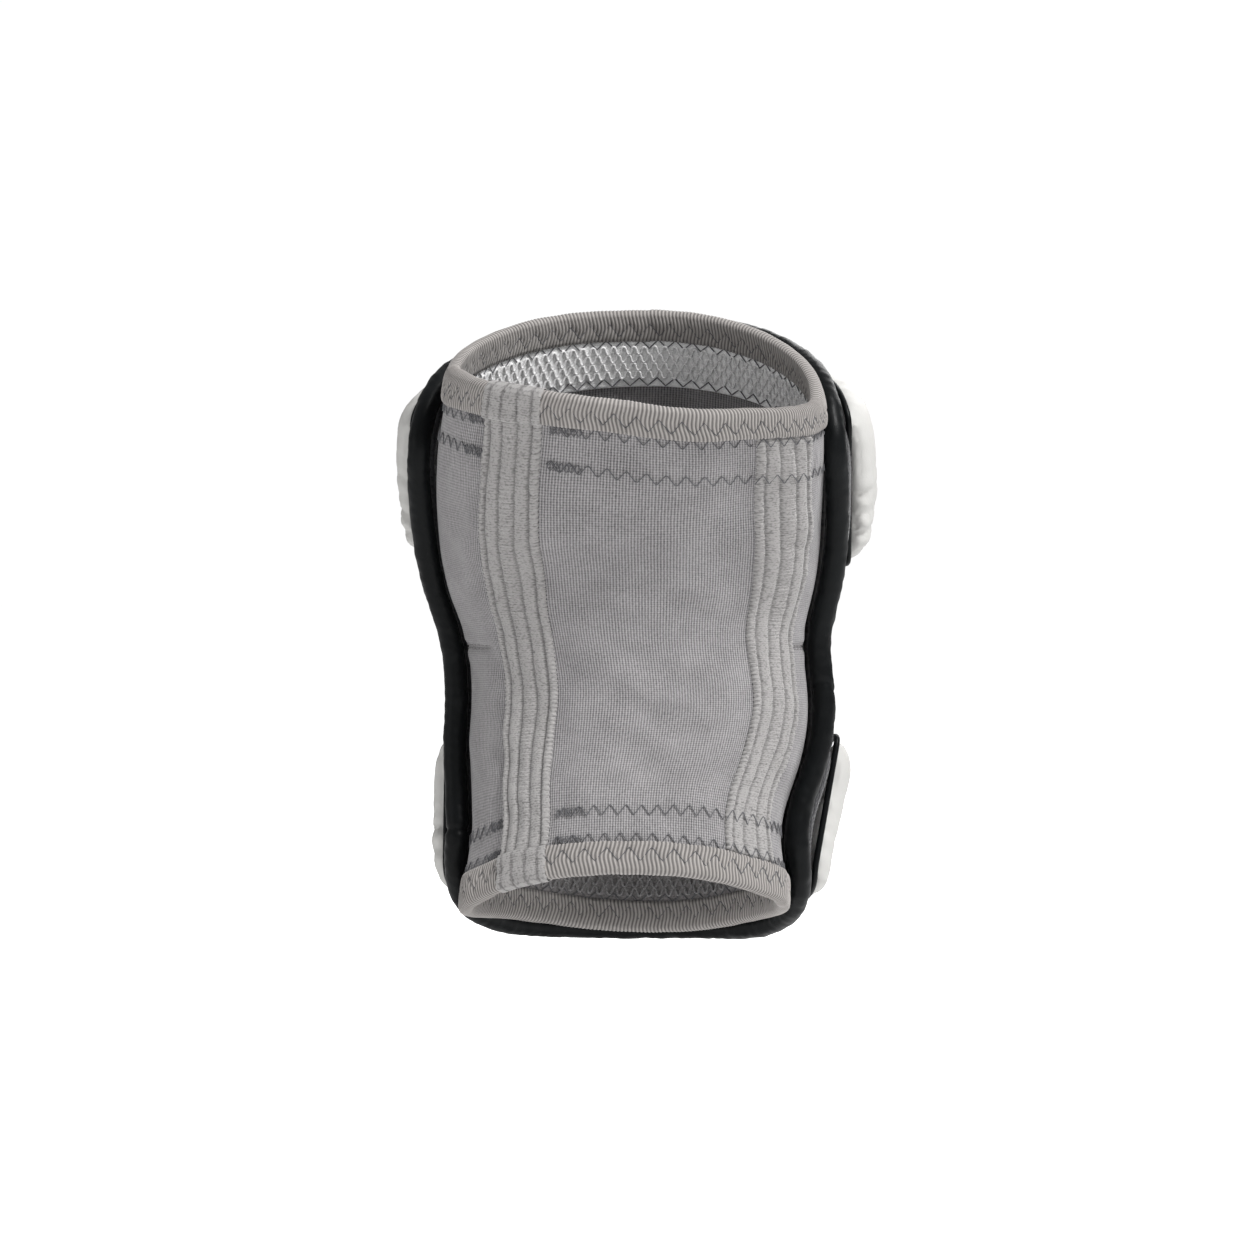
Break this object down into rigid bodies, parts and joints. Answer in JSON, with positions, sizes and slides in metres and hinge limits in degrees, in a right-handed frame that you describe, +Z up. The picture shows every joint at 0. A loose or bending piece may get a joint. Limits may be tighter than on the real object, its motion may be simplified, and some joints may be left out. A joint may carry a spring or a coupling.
{
  "type": "knee guard",
  "caption": "Pull-on, pre-bent knee guard: stretch sleeve with padded front, soft cushions above and below a knee cup, and grip bands at both openings.",
  "frame": {"origin": "middle of the leg at the knee's bending line, on the sleeve's centreline", "axes": "+Z up the leg towards the thigh opening, +Y to the front where the pads are, +X to the wearer's right"},
  "size_m": [0.207, 0.1773, 0.2716],
  "materials": {
    "sleeve_jersey": "fine ribbed grey stretch jersey",
    "seam_tape": "ribbed grey elastic tape, stitched along four rows",
    "rim_binding": "warm grey ribbed fold-over elastic",
    "grip_band": "light grey looped stretch band",
    "silicone_bead": "soft satin silicone",
    "foam": "soft closed-cell foam",
    "pad_cover": "black knitted mesh",
    "edge_leather": "black satin synthetic leather",
    "roll_filling": "soft foam cord",
    "cushion_leather": "soft white synthetic leather, lightly gathered"
  },
  "bodies": {
    "thigh_half": {"back_panel_upper": "sleeve_jersey", "edge_roll_cord_upper": "roll_filling", "edge_roll_upper": "edge_leather", "front_lining_upper": "sleeve_jersey", "pad_base_foam_upper": "foam", "pad_cover_upper": "pad_cover", "seam_tape_left_upper": "seam_tape", "seam_tape_right_upper": "seam_tape", "side_panel_left_upper": "sleeve_jersey", "side_panel_right_upper": "sleeve_jersey", "thigh_cushion_cover": "cushion_leather", "thigh_cushion_foam": "foam", "top_binding": "rim_binding", "top_grip_band": "grip_band", "top_grip_beads": "silicone_bead", "top_tape_end": "seam_tape"},
    "shin_half": {"back_panel_lower": "sleeve_jersey", "bottom_binding": "rim_binding", "bottom_grip_band": "grip_band", "bottom_grip_beads": "silicone_bead", "bottom_tape_end": "seam_tape", "edge_roll_cord_lower": "roll_filling", "edge_roll_lower": "edge_leather", "front_lining_lower": "sleeve_jersey", "pad_base_foam_lower": "foam", "pad_cover_lower": "pad_cover", "seam_tape_left_lower": "seam_tape", "seam_tape_right_lower": "seam_tape", "shin_cushion_cover": "cushion_leather", "shin_cushion_foam": "foam", "side_panel_left_lower": "sleeve_jersey", "side_panel_right_lower": "sleeve_jersey"},
    "knee_cap": {"knee_cup_base_foam": "foam", "knee_cup_cover": "cushion_leather", "knee_cup_foam": "foam"}
  },
  "joints": [
    {"name": "knee_flex", "type": "hinge", "parent": "thigh_half", "child": "shin_half", "pos_m": [0, -0.032, 0], "axis": [-1, 0, 0], "range_deg": [-10, 45], "stiffness_Nm_per_rad": 2},
    {"name": "knee_cap_turn", "type": "hinge", "parent": "thigh_half", "child": "knee_cap", "pos_m": [0, -0.032, 0], "axis": [-1, 0, 0], "range_deg": [-5, 22.5]}
  ],
  "couplings": [
    {"joint": "knee_cap_turn", "follows": "knee_flex", "ratio": 0.5}
  ]
}
